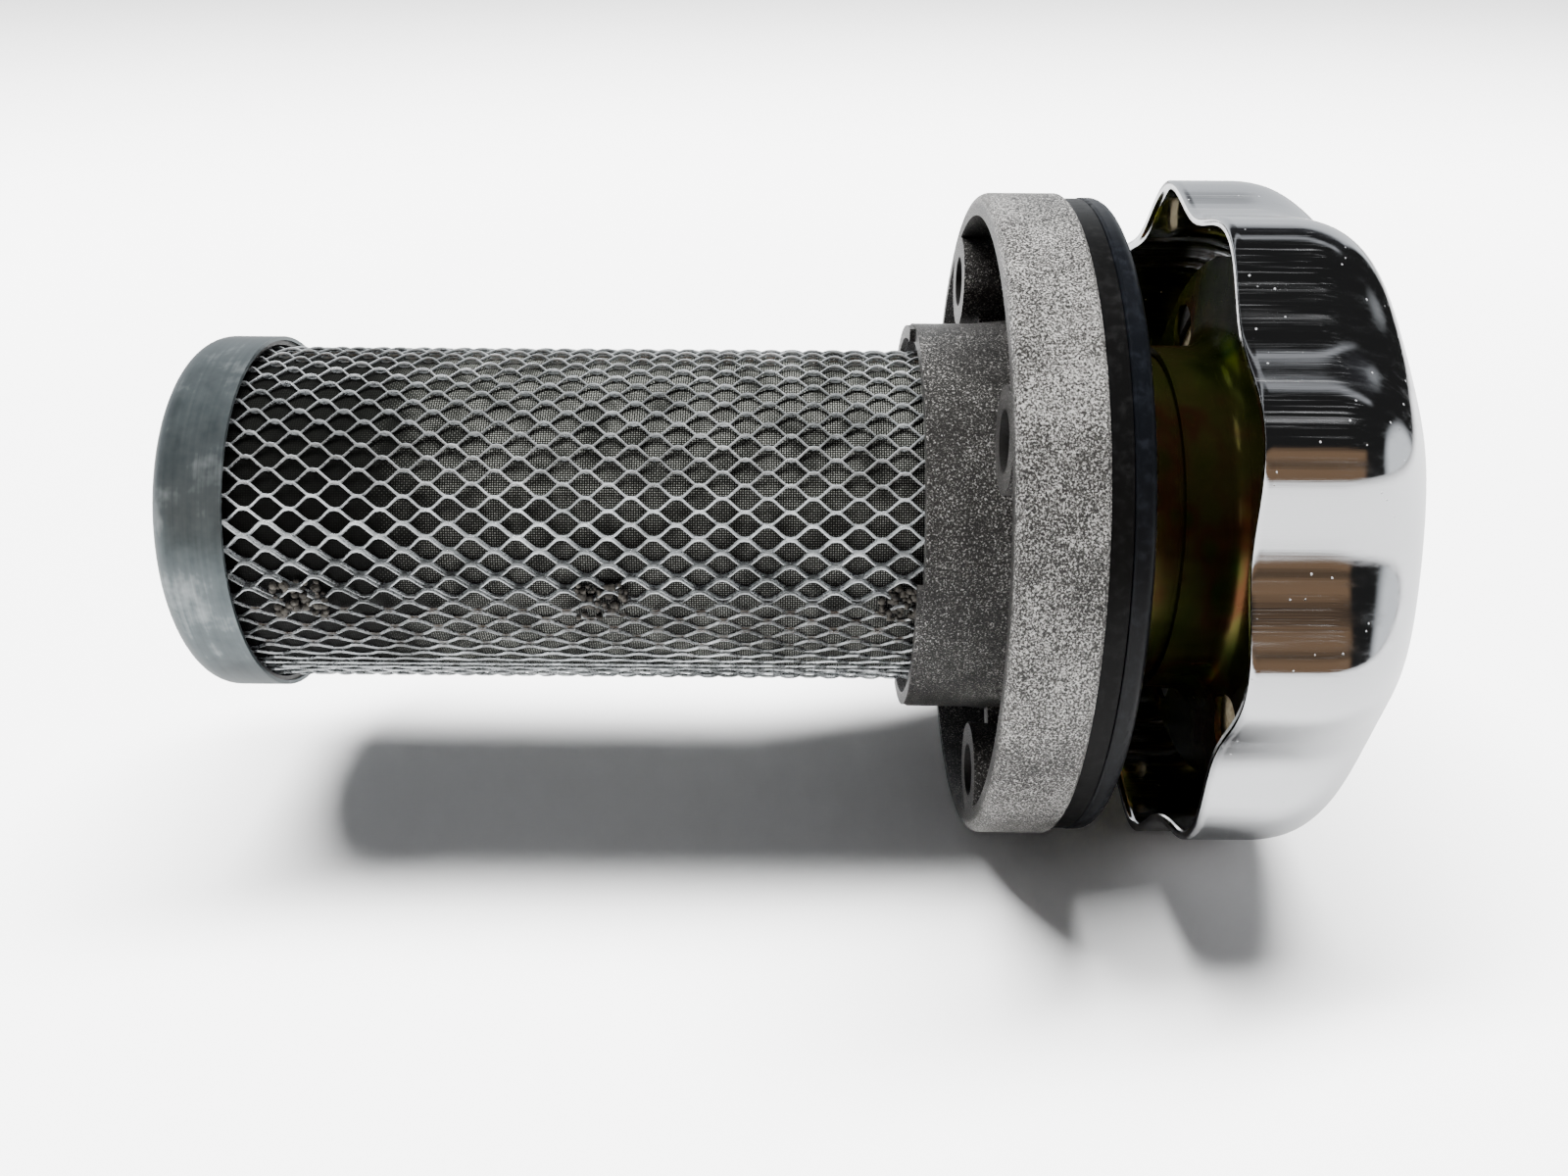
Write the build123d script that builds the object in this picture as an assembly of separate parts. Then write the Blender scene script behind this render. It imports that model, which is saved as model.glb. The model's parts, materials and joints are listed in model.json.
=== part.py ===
from build123d import *
import math
import os

# Filler breather for a fluid tank: a flange with a strainer basket, and a lobed bayonet cap.
# +X runs along the axis from the basket to the cap, and +Z is up with the part on its side.
# The origin is the centre of the flange's tank-side face. All sizes are in millimetres.

# Flange casting
FLANGE_R = 41.5
FLANGE_DEPTH = 9.75
RING_WALL = 2.7
WEB = 2.6
EDGE_ROUND = 1.4
CAP_EDGE = 0.4
ROOT_DRAFT = 0.7
NECK_R = 25.3
BORE_R = 23.3
NECK_LENGTH = 7.5
RIM_STEP = 0.7
RIM_STEP_FROM = 5.0
RIM_STEP_SPAN = 90.0
BOLT_CIRCLE_R = 33.6
BOLT_COUNT = 4
BOLT_HOLE_R = 3.3
BOLT_FIRST = 39.25
BOSS_R = 6.0
SCREW_HEAD_R = 6.2
SCREW_SINK = 2.6
RIB_WIDTH = 3.0
RIB_RECESS = 2.5
SEAT_R = 21.2
SEAT_DEPTH = 1.5

# Bayonet
SHELF_R = 20.0
SHELF_DEPTH = 3.0
LUG_COUNT = 3
LUG_HALF_ANGLE = 18.0
SLOT_HALF_ANGLE = 20.5
LUG_PLATE_R = 14.5
LUG_R = 22.7
LUG_PLATE_DEPTH = 2.4
LUG_GAP = 0.35
TWIST = 60.0
DRAW = 1.5
STOP_DEPTH = 4.2
CAM_STEPS = 5
FUSE = 0.2

# Strainer basket
STRAINER_R = 22.0
STRAINER_SHEET = 0.7
CLOTH_SHEET = 0.3
STRAINER_TOP = -0.6
CUP_R = 23.1
CUP_SHEET = 0.5
CUP_RIM = -89.6
CUP_END = -98.6
CUP_ROUND = 3.0
POTTING_DEPTH = 1.6
COLLAR_LENGTH = 5.0
SNAP_RING_X = -6.3
WELD_ANGLE = -3.5
WELD_PLACES = (-82.0, -45.0, -9.0)

# Gasket, base plate and cap
GASKET_DEPTH = 2.4
GASKET_R = 40.9
GASKET_BORE_R = 24.5
RUBBER_EDGE_R = 41.0
RUBBER_EDGE_DEPTH = 2.5
PLATE_R = 38.5
PLATE_SHEET = 1.2
TURN_GAP = 0.1
COLLAR_R = 21.6
HUB_R = 22.7
HUB_EDGE_X = 23.0
HUB_ROOT_ROUND = 3.5
CUP_FLOOR_X = 32.0
INNER_CUP_R = 34.0
INNER_SHEET = 0.8
VENT_COUNT = 6
VENT_R = 4.0
VENT_CIRCLE_R = 28.4
SHELL_RIM_X = 24.8
CROWN_X = 47.0
SHELL_SHEET = 1.0
LOBE_COUNT = 10
LOBE_PEAK_R = 43.4
LOBE_VALLEY_R = 40.0
LOBE_NOSE_R = 9.0
CROWN_ROUND = 15.0

# Draw bolt and filter
BOLT_R = 3.0
RUNNING_GAP = 0.05
BUSH_R = 6.0
NUT_ACROSS = 10.0
FILTER_R = 32.6
FILTER_BORE_R = 13.0
FELT = 0.8

os.makedirs("parts", exist_ok=True)


def turned(*outline):
    """A solid of revolution about the X axis, from (x, radius) corners."""
    face = make_face(Plane.XY * Polyline(*outline, close=True))
    return revolve(face, Axis.X)


def ring(x_low, x_high, r_out, r_in=0.0):
    """A plain disc or ring on the X axis."""
    return turned((x_low, r_in), (x_high, r_in), (x_high, r_out), (x_low, r_out))


def rod(x_low, x_high, r, radius=0.0, angle=0.0):
    """A rod along X, at a radius and an angle from -Y towards +Z."""
    turn = math.radians(angle)
    plane = Plane(origin=(x_low, -radius * math.cos(turn), radius * math.sin(turn)), z_dir=(1, 0, 0))
    return extrude(plane * Circle(r), x_high - x_low)


def across(x_low, x_high, sketch):
    """A sketch drawn with its own X along -Y and its own Y along +Z, extruded along X."""
    plane = Plane(origin=(x_low, 0, 0), x_dir=(0, -1, 0), z_dir=(-1, 0, 0))
    return extrude(plane * sketch, -(x_high - x_low))


def around(count, first=0.0):
    """Equal angles round the axis."""
    return [first + 360.0 / count * k for k in range(count)]


def sector(r_in, r_out, middle, half_angle):
    """A flat ring sector, as a sketch for across()."""
    low = middle - half_angle
    high = middle + half_angle

    def at(r, angle):
        return (r * math.cos(math.radians(angle)), r * math.sin(math.radians(angle)))

    outline = [
        Line(at(r_in, low), at(r_out, low)),
        ThreePointArc(at(r_out, low), at(r_out, middle), at(r_out, high)),
        Line(at(r_out, high), at(r_in, high)),
        ThreePointArc(at(r_in, high), at(r_in, middle), at(r_in, low)),
    ]
    return make_face(outline)


def hexagon(x_low, x_high):
    """A hexagon head or nut on the axis."""
    return across(x_low, x_high, RegularPolygon(NUT_ACROSS / 2, 6, major_radius=False))


def lobed_outline(inset=0.0):
    """The cap's outline: convex noses joined by tangent hollows, inset by a sheet."""
    nose = LOBE_NOSE_R
    nose_centre = LOBE_PEAK_R - nose
    step = math.pi / LOBE_COUNT
    chord = nose_centre * math.cos(step)
    valley = LOBE_VALLEY_R
    hollow = (nose_centre**2 + valley**2 - 2 * valley * chord - nose**2) / (2 * (nose + chord - valley))
    hollow_centre = valley + hollow

    def at(r, angle):
        return Vector(r * math.cos(angle), r * math.sin(angle), 0)

    def joint(k, side):
        start = at(nose_centre, 2 * k * step)
        end = at(hollow_centre, (2 * k + side) * step)
        return start + (end - start).normalized() * (nose - inset)

    edges = []
    for k in range(LOBE_COUNT):
        peak = at(LOBE_PEAK_R - inset, 2 * k * step)
        dip = at(valley - inset, (2 * k + 1) * step)
        edges.append(ThreePointArc(joint(k, -1), peak, joint(k, 1)))
        edges.append(ThreePointArc(joint(k, 1), dip, joint(k + 1, -1)))
    return make_face(edges)


def crown_body(inset=0.0):
    """The lobed skirt with its flat, round-cornered crown, inset by a sheet."""
    skirt = across(SHELL_RIM_X, CROWN_X - inset, lobed_outline(inset))
    r = LOBE_PEAK_R + 0.5 - inset
    corner = CROWN_ROUND - inset
    half = math.sqrt(0.5)
    bend_x = CROWN_X - CROWN_ROUND
    bend_r = r - corner
    outline = [
        Line((SHELL_RIM_X - 1, 0), (SHELL_RIM_X - 1, r)),
        Line((SHELL_RIM_X - 1, r), (bend_x, r)),
        ThreePointArc(
            (bend_x, r),
            (bend_x + corner * half, bend_r + corner * half),
            (CROWN_X - inset, bend_r),
        ),
        Line((CROWN_X - inset, bend_r), (CROWN_X - inset, 0)),
        Line((CROWN_X - inset, 0), (SHELL_RIM_X - 1, 0)),
    ]
    dome = revolve(make_face(outline), Axis.X)
    return skirt & dome


def ramp(middle):
    """One cam under the bayonet shelf: shallow steps that deepen with the twist, then an end stop."""
    shelf_x = FLANGE_DEPTH - SHELF_DEPTH
    end = middle + LUG_HALF_ANGLE + TWIST
    inner = SHELF_R + FUSE
    outer = BORE_R + FUSE
    stop = across(shelf_x - STOP_DEPTH, shelf_x + FUSE, sector(inner, outer, end + 4, 3))
    treads = [stop]
    for k in range(CAM_STEPS):
        start = middle + LUG_HALF_ANGLE + TWIST * (k + 1) / (CAM_STEPS + 1)
        low = shelf_x - DRAW * (k + 1) / (CAM_STEPS + 1)
        high = low + DRAW / (CAM_STEPS + 1)
        half = (end + 2 - start) / 2
        treads.append(across(low, high + FUSE, sector(inner, outer, start + half, half)))
    return treads


def flange_casting():
    """The die-cast flange with its neck, bosses, ribs, basket seat and bayonet shelf."""
    pocket_floor = FLANGE_DEPTH - WEB
    outline = [
        Line((0, FLANGE_R - RING_WALL), (0, FLANGE_R - EDGE_ROUND)),
        ThreePointArc(
            (0, FLANGE_R - EDGE_ROUND),
            (EDGE_ROUND * (1 - math.sqrt(0.5)), FLANGE_R - EDGE_ROUND * (1 - math.sqrt(0.5))),
            (EDGE_ROUND, FLANGE_R),
        ),
        Line((EDGE_ROUND, FLANGE_R), (FLANGE_DEPTH - CAP_EDGE, FLANGE_R)),
        Line((FLANGE_DEPTH - CAP_EDGE, FLANGE_R), (FLANGE_DEPTH, FLANGE_R - CAP_EDGE)),
        Line((FLANGE_DEPTH, FLANGE_R - CAP_EDGE), (FLANGE_DEPTH, BORE_R)),
        Line((FLANGE_DEPTH, BORE_R), (-NECK_LENGTH, BORE_R)),
        Line((-NECK_LENGTH, BORE_R), (-NECK_LENGTH, NECK_R)),
        Line((-NECK_LENGTH, NECK_R), (0, NECK_R)),
        Line((0, NECK_R), (pocket_floor, NECK_R + ROOT_DRAFT)),
        Line((pocket_floor, NECK_R + ROOT_DRAFT), (pocket_floor, FLANGE_R - RING_WALL)),
        Line((pocket_floor, FLANGE_R - RING_WALL), (0, FLANGE_R - RING_WALL)),
    ]
    body = revolve(make_face(outline), Axis.X)
    for angle in around(BOLT_COUNT, BOLT_FIRST):
        body += rod(0, FLANGE_DEPTH - 0.5, BOSS_R, BOLT_CIRCLE_R, angle)
        rib = Pos((NECK_R + FLANGE_R) / 2 - 1, 0) * Rectangle(FLANGE_R - NECK_R - 1, RIB_WIDTH)
        body += across(RIB_RECESS, FLANGE_DEPTH - 0.5, Rot(0, 0, angle) * rib)
    for middle in (RIM_STEP_FROM - RIM_STEP_SPAN / 2, RIM_STEP_FROM + 180 - RIM_STEP_SPAN / 2):
        step = sector(BORE_R + FUSE, NECK_R - FUSE, middle, RIM_STEP_SPAN / 2)
        body += across(-NECK_LENGTH - RIM_STEP, -NECK_LENGTH + 0.5, step)
    shelf_x = FLANGE_DEPTH - SHELF_DEPTH
    body += ring(shelf_x, FLANGE_DEPTH, BORE_R + 0.5, SHELF_R)
    body += ring(0, SEAT_DEPTH, BORE_R + 0.5, SEAT_R)
    for middle in around(LUG_COUNT):
        body += ramp(middle)
    for middle in around(LUG_COUNT):
        slot = sector(SHELF_R - 1, BORE_R - FUSE, middle, SLOT_HALF_ANGLE)
        body -= across(shelf_x - 0.1, FLANGE_DEPTH + 1, slot)
    for angle in around(BOLT_COUNT, BOLT_FIRST):
        body -= rod(-1, FLANGE_DEPTH + 1, BOLT_HOLE_R, BOLT_CIRCLE_R, angle)
        turn = math.radians(angle)
        place = (-BOLT_CIRCLE_R * math.cos(turn), BOLT_CIRCLE_R * math.sin(turn))
        sink = Plane(origin=(FLANGE_DEPTH, *place), z_dir=(-1, 0, 0)) * Circle(SCREW_HEAD_R)
        body -= extrude(sink, SCREW_SINK, taper=45)
    body -= ring(SNAP_RING_X, SNAP_RING_X + 1.0, BORE_R + 0.8, BORE_R - 0.5)
    return body


def basket_collar():
    """The pressed ring that carries the strainer and seats under the flange's ledge."""
    sleeve = ring(-COLLAR_LENGTH, -STRAINER_SHEET, STRAINER_R + 0.7, STRAINER_R)
    return sleeve + ring(-STRAINER_SHEET, 0, BORE_R - 0.1, SEAT_R)


def snap_ring():
    """The open spring ring that holds the collar in the neck."""
    body = ring(SNAP_RING_X + 0.05, SNAP_RING_X + 0.95, BORE_R + 0.7, STRAINER_R + 0.25)
    return body - across(SNAP_RING_X - 1, SNAP_RING_X + 2, Pos(23, 0) * Rectangle(8, 5))


def strainer_tube():
    """The rolled expanded-metal tube, as its plain envelope."""
    bottom = CUP_END + CUP_SHEET + POTTING_DEPTH
    return ring(bottom, STRAINER_TOP - 0.1, STRAINER_R, STRAINER_R - STRAINER_SHEET)


def wire_cloth():
    """The fine woven liner inside the strainer, as its plain envelope."""
    r = STRAINER_R - STRAINER_SHEET
    return ring(CUP_END + CUP_SHEET + POTTING_DEPTH, STRAINER_TOP - 0.1, r, r - CLOTH_SHEET)


def end_cup():
    """The pressed, galvanised cup that closes the strainer."""
    body = ring(CUP_END, CUP_RIM, CUP_R)
    body = fillet(body.edges().group_by(Axis.X)[0], CUP_ROUND)
    bore = ring(CUP_END + CUP_SHEET, CUP_RIM + 1, CUP_R - CUP_SHEET)
    return body - fillet(bore.edges().group_by(Axis.X)[0], CUP_ROUND - CUP_SHEET)


def potting():
    """The dark resin that bonds the strainer into its cup."""
    floor = CUP_END + CUP_SHEET
    body = ring(floor, CUP_RIM - 0.4, CUP_R - CUP_SHEET)
    body = fillet(body.edges().group_by(Axis.X)[0], CUP_ROUND - CUP_SHEET)
    return body - ring(floor + POTTING_DEPTH, CUP_RIM, STRAINER_R)


def seam_welds():
    """The spot welds along the strainer's lap seam."""
    turn = math.radians(WELD_ANGLE)
    welds = []
    for x in WELD_PLACES:
        plane = Plane(
            origin=(x, -STRAINER_R * math.cos(turn), STRAINER_R * math.sin(turn)),
            z_dir=(0, -math.cos(turn), math.sin(turn)),
        )
        disc = extrude(plane * Circle(2.0), 0.6, both=True)
        welds.append(disc - ring(x - 5, x + 5, STRAINER_R))
    return Compound(children=welds)


def cap_gasket():
    """The rubber sealing ring that stays between the flange and the turning cap."""
    return ring(FLANGE_DEPTH, FLANGE_DEPTH + GASKET_DEPTH, GASKET_R, GASKET_BORE_R)


def rubber_edge():
    """The moulded edging on the base plate, with its outer corners rounded."""
    start = FLANGE_DEPTH + GASKET_DEPTH + TURN_GAP
    body = ring(start, start + RUBBER_EDGE_DEPTH, RUBBER_EDGE_R, PLATE_R)
    for end, radius in ((-1, 1.2), (0, 0.45)):
        outer = body.edges().filter_by(GeomType.CIRCLE).group_by(Axis.X)[end].sort_by(SortBy.RADIUS)[-1]
        body = fillet(outer, radius)
    return body


def base_plate():
    """The pressed plate with a raised collar and the air holes inside it."""
    start = FLANGE_DEPTH + GASKET_DEPTH + TURN_GAP
    top = HUB_EDGE_X + 1.5
    body = ring(start, start + PLATE_SHEET, PLATE_R)
    body += ring(start, top, COLLAR_R, COLLAR_R - INNER_SHEET)
    body -= ring(start - 1, start + 3, BUSH_R)
    for angle in around(VENT_COUNT):
        body -= rod(start - 1, start + 3, VENT_R - 0.5, 13.5, angle)
    return body


def guide_bush():
    """The bush that guides the draw bolt through the base plate."""
    start = FLANGE_DEPTH + GASKET_DEPTH + TURN_GAP
    body = ring(start, start + 4.0, BUSH_R, BOLT_R + RUNNING_GAP)
    return body + ring(start + PLATE_SHEET, start + PLATE_SHEET + 1.0, BUSH_R + 2, BUSH_R - 1)


def inner_cup():
    """The pressed cup inside the cap: hub, flared root, vented floor and wall."""
    t = INNER_SHEET
    root = HUB_ROOT_ROUND
    half = math.sqrt(0.5)
    wall_top = CROWN_X - 4.0
    bend_x = CUP_FLOOR_X - root
    hub_in = HUB_R - t
    wide = root + t
    outline = [
        Line((HUB_EDGE_X, HUB_R), (bend_x, HUB_R)),
        ThreePointArc(
            (bend_x, HUB_R),
            (bend_x + root * half, HUB_R + root * (1 - half)),
            (CUP_FLOOR_X, HUB_R + root),
        ),
        Line((CUP_FLOOR_X, HUB_R + root), (CUP_FLOOR_X, INNER_CUP_R)),
        Line((CUP_FLOOR_X, INNER_CUP_R), (wall_top, INNER_CUP_R)),
        Line((wall_top, INNER_CUP_R), (wall_top, INNER_CUP_R - t)),
        Line((wall_top, INNER_CUP_R - t), (CUP_FLOOR_X + t, INNER_CUP_R - t)),
        Line((CUP_FLOOR_X + t, INNER_CUP_R - t), (CUP_FLOOR_X + t, HUB_R + root)),
        ThreePointArc(
            (CUP_FLOOR_X + t, HUB_R + root),
            (bend_x + wide * half, HUB_R + root - wide * half),
            (bend_x, hub_in),
        ),
        Line((bend_x, hub_in), (HUB_EDGE_X, hub_in)),
        Line((HUB_EDGE_X, hub_in), (HUB_EDGE_X, HUB_R)),
    ]
    body = revolve(make_face(outline), Axis.X)
    for angle in around(VENT_COUNT, 18.0):
        body -= rod(CUP_FLOOR_X - 2, CUP_FLOOR_X + 2, VENT_R, VENT_CIRCLE_R, angle)
    return body


def splash_baffle():
    """The perforated disc in the hub that keeps fluid off the filter."""
    body = ring(bend_hub_x(), bend_hub_x() + 0.8, HUB_R - INNER_SHEET - 0.05)
    for angle in around(8):
        body -= rod(0, CROWN_X, 2.0, 16.0, angle)
    return body - rod(0, CROWN_X, BOLT_R + 0.5)


def bend_hub_x():
    """Where the hub's straight wall ends."""
    return CUP_FLOOR_X - HUB_ROOT_ROUND - 0.8


def filter_low_x():
    """The tank-side face of the filter."""
    return CUP_FLOOR_X + INNER_SHEET + FELT


def filter_high_x():
    """The crown-side face of the filter."""
    return CROWN_X - SHELL_SHEET - FELT - 3.0


def felt_ring(x_low):
    """A felt ring that seals one face of the filter."""
    inner = HUB_R + HUB_ROOT_ROUND + 4.0
    return ring(x_low, x_low + FELT, FILTER_R, inner if x_low < filter_low_x() else FILTER_BORE_R)


def filter_ring():
    """The air filter element."""
    return ring(filter_low_x(), filter_high_x(), FILTER_R, FILTER_BORE_R)


def filter_sleeve():
    """The perforated sleeve that lines the filter's bore."""
    body = ring(filter_low_x(), filter_high_x(), FILTER_BORE_R, FILTER_BORE_R - 0.8)
    middle = (filter_low_x() + filter_high_x()) / 2
    for angle in around(8):
        turn = math.radians(angle)
        plane = Plane(origin=(middle, 0, 0), z_dir=(0, -math.cos(turn), math.sin(turn)))
        body -= extrude(plane * Circle(2.2), FILTER_BORE_R + 1)
    return body


def crown_stud():
    """The stud welded inside the crown that clamps the filter."""
    return rod(filter_high_x() - 2.5, CROWN_X - SHELL_SHEET, 2.5)


def clamp_disc():
    """The disc on the crown stud that presses on the filter's upper felt."""
    top = filter_high_x() + FELT
    return ring(top, top + 1.0, FILTER_BORE_R + 6.0, 2.5)


def clamp_nut():
    """The nut that holds the clamp disc up against the crown."""
    return hexagon(filter_high_x() - 2.0, filter_high_x() + FELT) - rod(0, CROWN_X, 2.5)


def lug_plate_x():
    """The cap-side face of the lug plate at rest."""
    return FLANGE_DEPTH - SHELF_DEPTH - LUG_GAP


def lug_plate():
    """The bayonet plate with its lugs."""
    top = lug_plate_x()
    body = ring(top - LUG_PLATE_DEPTH, top, LUG_PLATE_R)
    for middle in around(LUG_COUNT):
        body += across(top - LUG_PLATE_DEPTH, top, sector(10.0, LUG_R, middle, LUG_HALF_ANGLE))
    for angle in around(LUG_COUNT, 60.0):
        body -= rod(0, 10, 2.5, 9.5, angle)
    return body - rod(-1, 10, BOLT_R)


def draw_bolt():
    """The bolt that pulls the lug plate up against its spring."""
    low = lug_plate_x() - LUG_PLATE_DEPTH
    return rod(low, bend_hub_x() - 0.5, BOLT_R) + hexagon(low - 4.0, low)


def spring_seat():
    """The washer on the spring's free end."""
    return ring(spring_high_x(), spring_high_x() + 1.2, 7.5, BOLT_R)


def lock_nut():
    """The nut that sets the spring's load."""
    return hexagon(spring_high_x() + 1.2, spring_high_x() + 4.2) - rod(0, CROWN_X, BOLT_R)


def spring_low_x():
    """Where the spring stands on the bush's shoulder."""
    return FLANGE_DEPTH + GASKET_DEPTH + TURN_GAP + PLATE_SHEET + 1.0


def spring_high_x():
    """Where the spring meets its seat."""
    return bend_hub_x() - 4.9


def draw_spring():
    """The compression spring that loads the bayonet."""
    wire_r = 0.6
    length = spring_high_x() - spring_low_x() - 2 * wire_r
    start = (spring_low_x() + wire_r, 0, 0)
    path = Helix(pitch=length / 4, height=length, radius=6.7, center=start, direction=(1, 0, 0))
    section = Plane(origin=path @ 0, z_dir=path % 0) * Circle(wire_r)
    return sweep(section, path=path)


MODEL = {
    "flange_casting": flange_casting,
    "basket_collar": basket_collar,
    "snap_ring": snap_ring,
    "strainer_tube": strainer_tube,
    "wire_cloth": wire_cloth,
    "end_cup": end_cup,
    "potting": potting,
    "seam_welds": seam_welds,
    "cap_gasket": cap_gasket,
    "rubber_edge": rubber_edge,
    "base_plate": base_plate,
    "guide_bush": guide_bush,
    "inner_cup": inner_cup,
    "cap_shell": lambda: crown_body() - crown_body(SHELL_SHEET),
    "splash_baffle": splash_baffle,
    "lower_felt": lambda: felt_ring(CUP_FLOOR_X + INNER_SHEET),
    "filter_ring": filter_ring,
    "filter_sleeve": filter_sleeve,
    "upper_felt": lambda: felt_ring(filter_high_x()),
    "clamp_disc": clamp_disc,
    "crown_stud": crown_stud,
    "clamp_nut": clamp_nut,
    "lug_plate": lug_plate,
    "draw_bolt": draw_bolt,
    "spring_seat": spring_seat,
    "lock_nut": lock_nut,
    "draw_spring": draw_spring,
}

for node, make in MODEL.items():
    shape = make()
    export_step(shape, f"parts/{node}.step")
    print(node, round(shape.volume, 1))
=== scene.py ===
import json
import logging
import math
from dataclasses import dataclass
from enum import Enum

import bmesh
import bpy
from mathutils import Matrix, Vector


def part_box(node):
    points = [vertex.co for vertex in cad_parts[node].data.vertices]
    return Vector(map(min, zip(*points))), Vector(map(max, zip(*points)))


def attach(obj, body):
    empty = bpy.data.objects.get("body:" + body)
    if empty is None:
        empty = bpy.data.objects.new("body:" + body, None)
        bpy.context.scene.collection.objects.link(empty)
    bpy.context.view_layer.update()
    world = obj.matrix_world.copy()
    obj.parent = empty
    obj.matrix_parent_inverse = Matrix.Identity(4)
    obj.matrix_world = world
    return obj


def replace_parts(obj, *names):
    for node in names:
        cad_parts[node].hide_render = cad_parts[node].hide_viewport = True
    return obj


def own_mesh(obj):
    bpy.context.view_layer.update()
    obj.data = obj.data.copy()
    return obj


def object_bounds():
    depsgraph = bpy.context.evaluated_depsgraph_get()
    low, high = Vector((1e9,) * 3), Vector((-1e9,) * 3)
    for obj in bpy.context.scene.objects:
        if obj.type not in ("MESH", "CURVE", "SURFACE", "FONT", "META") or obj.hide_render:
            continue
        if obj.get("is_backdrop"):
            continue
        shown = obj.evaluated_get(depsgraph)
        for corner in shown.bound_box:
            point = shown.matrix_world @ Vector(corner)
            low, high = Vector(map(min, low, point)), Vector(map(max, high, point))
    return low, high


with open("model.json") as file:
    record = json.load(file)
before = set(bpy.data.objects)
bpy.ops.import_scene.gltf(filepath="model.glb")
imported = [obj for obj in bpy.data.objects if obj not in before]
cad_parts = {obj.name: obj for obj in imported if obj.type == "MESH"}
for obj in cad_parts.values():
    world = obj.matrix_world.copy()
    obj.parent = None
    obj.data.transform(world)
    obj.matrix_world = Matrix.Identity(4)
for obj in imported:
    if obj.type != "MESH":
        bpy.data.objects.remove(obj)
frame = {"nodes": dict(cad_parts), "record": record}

Triple = tuple[float, float, float]
Stops = list[tuple[float, Triple]]
Material = bpy.types.Material
Node = bpy.types.Node
Piece = bpy.types.Object
Socket = bpy.types.NodeSocket

LOG = logging.getLogger("filler_breather")
MM = 0.001
TURN = 2 * math.pi
SEAM_GAP = 0.004 * MM


class Body(Enum):
    """The bodies that new pieces ride on."""

    FLANGE = "flange"
    CAP = "cap"


class Slot(Enum):
    """The names of the record's material slots for the new pieces; no piece takes its finish from them
    here.
    """

    STRAINER = "strainer_steel"
    CLOTH = "wire_cloth"
    CHROME = "chrome"
    SPRING = "spring_steel"


class Field:
    """A number in a node tree, with the usual arithmetic."""

    def __init__(self, tree: bpy.types.NodeTree, socket: Socket) -> None:
        """Wraps one output socket.

        Args:
            tree: the tree that the socket is in.
            socket: the socket that gives the number.
        """
        self.tree = tree
        self.socket = socket

    def join(self, operation: str, *others: "Field | float") -> "Field":
        """Adds one Math node.

        Args:
            operation: the Math node's operation.
            others: the other operands.

        Returns:
            The node's result.
        """
        node = self.tree.nodes.new("ShaderNodeMath")
        node.operation = operation
        self.tree.links.new(self.socket, node.inputs[0])
        for place, other in enumerate(others, start=1):
            if isinstance(other, Field):
                self.tree.links.new(other.socket, node.inputs[place])
            else:
                node.inputs[place].default_value = other
        return Field(self.tree, node.outputs[0])

    def __add__(self, other: "Field | float") -> "Field":
        """The sum."""
        return self.join("ADD", other)

    def __sub__(self, other: "Field | float") -> "Field":
        """The difference."""
        return self.join("SUBTRACT", other)

    def __mul__(self, other: "Field | float") -> "Field":
        """The product."""
        return self.join("MULTIPLY", other)

    def __truediv__(self, other: "Field | float") -> "Field":
        """The quotient."""
        return self.join("DIVIDE", other)

    def limited(self, low: "Field | float", high: "Field | float") -> "Field":
        """The number held between two limits."""
        return self.join("MAXIMUM", low).join("MINIMUM", high)

    def eased(self, start: float, end: float) -> "Field":
        """0 before start, 1 after end, and smooth between them."""
        share = ((self - start) / (end - start)).limited(0.0, 1.0)
        return share * share * (share * -2.0 + 3.0)


class Builder:
    """A node tree that is put together node by node."""

    def __init__(self, tree: bpy.types.NodeTree) -> None:
        """Takes the tree to build in.

        Args:
            tree: the tree.
        """
        self.tree = tree

    def add(self, kind: str, given: dict[str | int, object], **settings: object) -> Node:
        """Adds a node.

        Args:
            kind: the node's type.
            given: values, fields or sockets for its inputs, by name or by number.
            settings: the node's own properties.

        Returns:
            The node.
        """
        node = self.tree.nodes.new(kind)
        for key, value in settings.items():
            setattr(node, key, value)
        for key, value in given.items():
            source = value.socket if isinstance(value, Field) else value
            if isinstance(source, Socket):
                self.tree.links.new(source, node.inputs[key])
            else:
                node.inputs[key].default_value = source
        return node

    def parts_of(self, vector: Socket) -> tuple[Field, Field, Field]:
        """The three numbers of a vector."""
        split = self.add("ShaderNodeSeparateXYZ", {"Vector": vector})
        return tuple(Field(self.tree, out) for out in split.outputs)

    def ramp(self, share: Field, stops: Stops) -> Socket:
        """A colour that follows a number.

        Args:
            share: the number, from 0 to 1.
            stops: places and colours, in order.

        Returns:
            The colour's socket.
        """
        node = self.add("ShaderNodeValToRGB", {"Fac": share})
        band = node.color_ramp
        while len(band.elements) < len(stops):
            band.elements.new(0.5)
        for element, (place, colour) in zip(band.elements, stops):
            element.position = place
            element.color = (*colour, 1.0)
        return node.outputs[0]


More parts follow.
